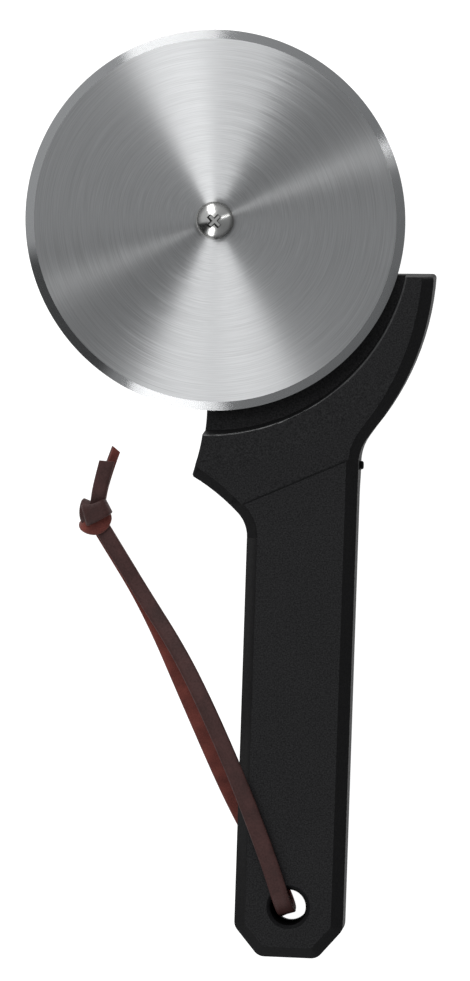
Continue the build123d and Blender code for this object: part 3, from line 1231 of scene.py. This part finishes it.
@dataclass
class Lace:
    """One leather lace, doubled through the hanging hole and tied in an overhand knot."""

    width: float = 4.5 * MM
    front_length: float = 121.9 * MM
    back_length: float = 118.1 * MM

    def front_strand(self) -> Strip:
        """Lay the strand over the front of the grip, grain side up.

        Returns:
            The strand.
        """
        return Strip(
            "lace_front",
            [
                (19.0, -182.2, 8.0),
                (19.0, -182.2, 15.1),
                (15.0, -168.9, 15.1),
                (6.5, -146.6, 15.0),
                (-1.7, -128.4, 13.0),
                (-9.3, -113.9, 9.4),
                (-19.276, -99.323, 4.6),
                (-29.2, -83.4, 3.9),
                (-31.2, -80.3, 2.9),
                (-32.3, -78.4, 2.6),
            ],
            LeatherSide.GRAIN,
            widths=(1.0, 1.0, 0.95, 0.9, 0.9, 0.88),
        )

    def back_strand(self) -> Strip:
        """Lay the strand behind the grip, flesh side up.

        Returns:
            The strand.
        """
        return Strip(
            "lace_back",
            [
                (19.0, -182.2, 8.0),
                (19.0, -182.2, 1.0),
                (13.5, -170.2, 1.0),
                (4.7, -155.0, 1.0),
                (-6.3, -130.0, 1.1),
                (-17.9, -102.7, 1.7),
                (-29.6, -83.6, 1.6),
                (-31.5, -80.5, 1.6),
            ],
            LeatherSide.FLESH,
        )

    def tails(self) -> dict[str, Strip]:
        """Leave the two free ends beyond the knot.

        Returns:
            The ends, by the node that each stands for.
        """
        return {
            "lace_front_tail": Strip(
                "tail_front",
                [(-32.2, -78.6, 3.6), (-31.49, -74.948, 4.1), (-30.786, -70.503, 4.6),
                 (-29.0, -63.9, 4.3)],
                LeatherSide.GRAIN, widths=(0.84, 0.88), slant=10.0,
            ),
            "lace_back_tail": Strip(
                "tail_back",
                [(-31.7, -77.6, 2.4), (-31.0, -74.948, 2.2), (-30.0, -69.516, 2.2),
                 (-26.8, -60.9, 1.8)],
                LeatherSide.FLESH, rolls=(0.0, -12.0, -30.0), widths=(0.7, 0.62, 0.55),
                slant=-20.0,
            ),
        }

    def knot(self) -> list[Strip]:
        """Wrap the turns of the overhand knot, each a short bend of the same strip.

        Returns:
            The turns, the uppermost first.
        """
        return [
            Strip(
                "knot_over",
                [(-30.8, -76.75, 2.4), (-28.9, -75.85, 3.0), (-29.2, -75.95, 6.0),
                 (-31.9, -77.4, 6.0), (-33.9, -78.0, 5.8), (-34.5, -78.15, 5.3),
                 (-34.7, -78.25, 3.2), (-33.9, -78.15, 2.3)],
                LeatherSide.GRAIN, widths=(0.95, 0.95, 1.02, 1.12, 1.25, 1.3, 1.3),
            ),
            Strip(
                "knot_under",
                [(-31.2, -77.6, 2.3), (-29.7, -78.1, 2.9), (-29.8, -79.95, 4.5),
                 (-31.5, -81.6, 4.6), (-33.7, -81.4, 4.4), (-35.2, -80.4, 3.7),
                 (-34.9, -79.65, 2.3)],
                LeatherSide.FLESH, widths=(0.85,),
            ),
            Strip(
                "knot_fold",
                [(-34.0, -75.35, 2.4), (-34.4, -74.55, 2.9), (-34.8, -75.85, 4.5),
                 (-35.0, -77.85, 4.4), (-34.6, -79.65, 3.9), (-34.1, -80.35, 2.6)],
                LeatherSide.GRAIN, rolls=(0.0, -14.0, -8.0), widths=(0.6,),
            ),
        ]

    def build(self, finishes: Finishes) -> list[bpy.types.Object]:
        """Args:
            finishes: The wheel's materials.

        Returns:
            The pieces.
        """
        knot = [turn.build(finishes) for turn in self.knot()]
        hand_over(knot[0], Body.LACE, ("lace_knot",))
        for turn in knot[1:]:
            hand_over(turn, Body.LACE)
        tails = []
        for node, strip in self.tails().items():
            tails.append(hand_over(strip.build(finishes), Body.LACE, (node,)))
        front, back = self.front_strand(), self.back_strand()
        pieces = []
        for strip, node, length, others in (
            (front, "lace_front_strand", self.front_length, knot + tails),
            (back, "lace_back_strand", self.back_length, []),
        ):
            piece = hand_over(strip.build(finishes), Body.LACE, (node,))
            line = strip.line()
            pieces.append(piece)
        return pieces + knot + tails


@dataclass(frozen=True)
class Softbox:
    """One rectangular softbox that looks at the blade.

    Its azimuth is in degrees from +X about the blade's axis, and its tilt in degrees down
    from straight above.
    """

    name: str
    azimuth: float
    tilt: float
    width: float
    height: float
    watts: float
    away: float = 2.0

    def hang(self) -> None:
        """Hang the softbox in its place."""
        data = bpy.data.lights.new(self.name, "AREA")
        data.shape = "RECTANGLE"
        data.size = self.width
        data.size_y = self.height
        data.energy = self.watts
        light = bpy.data.objects.new(self.name, data)
        lean, turn = math.radians(self.tilt), math.radians(self.azimuth)
        out = Vector((
            math.sin(lean) * math.cos(turn), math.sin(lean) * math.sin(turn), math.cos(lean)
        ))
        facing = out.to_track_quat("Z", "Y").to_matrix().to_4x4()
        light.matrix_world = Matrix.Translation(out * self.away) @ facing
        bpy.context.scene.collection.objects.link(light)


@dataclass
class Studio:
    """Table, soft lights and camera of the photograph."""

    # Direction from the wheel to the camera, which looks down on the table
    look_from: tuple[float, float, float] = (0.0856, 0.0856, 1.0)
    # Middle of the picture, right of and above the middle of the blade's front
    aim_right: float = 5.22 * MM
    aim_up: float = -70.8 * MM
    aim_height: float = 9.0 * MM
    lens: float = 400.0
    film: float = 36.0
    sight: float = 20.0
    floor_half: float = 4.0
    floor_drop: float = 0.05 * MM
    # Walls and ceiling of the studio: bright beyond the wheel's top left, dim opposite,
    # with a dark doorway at the lower left and little light along the floor
    bright_wall: str = "#b8b9ba"
    dim_wall: str = "#797a7b"
    doorway: str = "#0c0c0c"
    bright_azimuth: float = 150.0
    bright_ends: tuple[float, float] = (-1.0, 1.0)
    doorway_azimuth: float = 210.0
    doorway_ends: tuple[float, float] = (0.90, 0.94)
    # Height of the direction, from 0 level to 1 straight up, where each starts and is full
    doorway_heights: tuple[float, float] = (0.93, 0.88)
    floor_heights: tuple[float, float] = (0.45, 0.05)
    card_heights: tuple[float, float] = (0.80, 0.84)
    wall_light: float = 1.2
    # White cards under the ceiling before each softbox: azimuth and half width in degrees
    # about the middle of what the flat blade mirrors, and share of full brightness
    card: str = "#ffffff"
    cards: tuple[tuple[float, float, float], ...] = (
        (102.5, 13.5, 1.0), (256.0, 10.0, 0.6), (24.0, 4.0, 0.5),
    )
    card_blur: float = 0.8
    # Level distance from that middle, where the cards start and are full
    card_reaches: tuple[float, float] = (0.10, 0.16)
    softboxes: tuple[Softbox, ...] = (
        Softbox("key", azimuth=111.5, tilt=54.0, width=0.78, height=1.5, watts=18.5),
        Softbox("second", azimuth=251.5, tilt=54.0, width=0.60, height=1.4, watts=11.0),
        Softbox("strip", azimuth=21.5, tilt=50.0, width=0.10, height=1.4, watts=2.4),
    )

    def camera(self) -> None:
        """Stand the camera where the photograph was taken from."""
        back = Vector(self.look_from).normalized()
        right = Vector((0, 1, 0)).cross(back).normalized()
        up = back.cross(right)
        aim = Vector((0, 0, self.aim_height)) + right * self.aim_right + up * self.aim_up
        tall = PHOTO_HEIGHT_PX / PX_PER_MM * MM
        away = tall / self.film * self.lens
        data = bpy.data.cameras.new("camera")
        data.lens = self.lens
        data.sensor_fit = "VERTICAL"
        data.sensor_height = self.film
        data.clip_end = self.sight
        camera = bpy.data.objects.new("camera", data)
        turn = Matrix((right, up, back)).transposed().to_4x4()
        camera.matrix_world = Matrix.Translation(aim + back * away) @ turn
        bpy.context.scene.collection.objects.link(camera)
        bpy.context.scene.camera = camera

    def floor(self) -> None:
        """Lay the pale table under the wheel."""
        mesh = bmesh.new()
        bmesh.ops.create_grid(mesh, x_segments=1, y_segments=1, size=self.floor_half)
        bmesh.ops.translate(mesh, verts=mesh.verts, vec=(0, 0, -self.floor_drop))
        new_piece("table", mesh, [PaleSheet().make()])

    def light(self) -> None:
        """Light the table evenly, with the softboxes that draw the blade's fans."""
        for softbox in self.softboxes:
            softbox.hang()
        bpy.context.scene.view_settings.view_transform = "Standard"

    @staticmethod
    def side(
        tree: bpy.types.NodeTree, towards: Socket, azimuth: float, ends: tuple[float, float]
    ) -> Socket:
        """Mask the walls on one side of the studio.

        Args:
            tree: Node tree of the world.
            towards: Level direction to each place, of length 1.
            azimuth: Degrees from +X to the middle of that side.
            ends: Cosines of the turn from there where the mask is 0 and where it is 1.

        Returns:
            The mask.
        """
        turn = math.radians(azimuth)
        near = add_node(
            tree, "ShaderNodeVectorMath",
            {0: towards, 1: (math.cos(turn), math.sin(turn), 0.0)}, operation="DOT_PRODUCT",
        )
        mask = add_node(
            tree, "ShaderNodeMapRange",
            {"Value": near.outputs["Value"], "From Min": ends[0], "From Max": ends[1]},
        )
        return mask.outputs[0]

    def walls(self) -> None:
        """Paint the studio round the table, by the direction that one looks in."""
        world = bpy.data.worlds.new("studio walls")
        world.use_nodes = True
        tree = world.node_tree
        tree.nodes.clear()
        facing = add_node(tree, "ShaderNodeTexCoord", {}).outputs["Generated"]
        height = add_node(tree, "ShaderNodeSeparateXYZ", {"Vector": facing}).outputs["Z"]
        mirrored = add_node(
            tree, "ShaderNodeVectorMath", {0: facing, 1: self.look_from}, operation="ADD"
        ).outputs[0]
        level = add_node(
            tree, "ShaderNodeVectorMath", {0: mirrored, 1: (1.0, 1.0, 0.0)},
            operation="MULTIPLY",
        ).outputs[0]
        reach = add_node(
            tree, "ShaderNodeVectorMath", {0: level}, operation="LENGTH"
        ).outputs["Value"]
        towards = add_node(
            tree, "ShaderNodeVectorMath", {0: level}, operation="NORMALIZE"
        ).outputs[0]
        ceiling, clear_of_middle, below_lintel, along_floor = (
            add_node(
                tree, "ShaderNodeMapRange",
                {"Value": value, "From Min": ends[0], "From Max": ends[1]},
            ).outputs[0]
            for value, ends in (
                (height, self.card_heights), (reach, self.card_reaches),
                (height, self.doorway_heights), (height, self.floor_heights),
            )
        )
        cards = 0.0
        for azimuth, half, share in self.cards:
            wide = math.cos(math.radians(half + self.card_blur))
            narrow = math.cos(math.radians(half - self.card_blur))
            card = add_node(
                tree, "ShaderNodeMath",
                {0: self.side(tree, towards, azimuth, (wide, narrow)), 1: share},
                operation="MULTIPLY",
            ).outputs[0]
            cards = add_node(
                tree, "ShaderNodeMath", {0: card, 1: cards}, operation="MAXIMUM"
            ).outputs[0]
        for mask in (ceiling, clear_of_middle):
            cards = add_node(
                tree, "ShaderNodeMath", {0: cards, 1: mask}, operation="MULTIPLY"
            ).outputs[0]
        open_side = self.side(tree, towards, self.doorway_azimuth, self.doorway_ends)
        doorway = add_node(
            tree, "ShaderNodeMath", {0: open_side, 1: below_lintel}, operation="MULTIPLY"
        ).outputs[0]
        dark = add_node(
            tree, "ShaderNodeMath", {0: doorway, 1: along_floor}, operation="MAXIMUM"
        ).outputs[0]
        bright = self.side(tree, towards, self.bright_azimuth, self.bright_ends)
        colour = linear(self.dim_wall)
        for mask, over in (
            (bright, self.bright_wall), (cards, self.card), (dark, self.doorway),
        ):
            colour = add_node(
                tree, "ShaderNodeMix", {0: mask, 6: colour, 7: linear(over)},
                data_type="RGBA",
            ).outputs[2]
        light = add_node(
            tree, "ShaderNodeBackground", {"Color": colour, "Strength": self.wall_light}
        )
        add_node(tree, "ShaderNodeOutputWorld", {"Surface": light.outputs[0]})
        bpy.context.scene.world = world


def main() -> None:
    """Build the wheel and its studio, in order."""
    logging.basicConfig(level=logging.INFO, format="%(name)s: %(message)s")
    studio = Studio()
    studio.camera()
    finishes = Finishes.made()
    log.info("lace: %d pieces", len(Lace().build(finishes)))
    joinery = Joinery()
    log.info("handle: %d pieces", len(Handle().build(finishes, joinery)))
    log.info("axle: %d pieces", len(Axle().build(finishes, joinery)))
    log.info("blade: %s", Blade().build(finishes).name)
    studio.floor()
    studio.walls()
    studio.light()


if __name__ == "__main__":
    main()
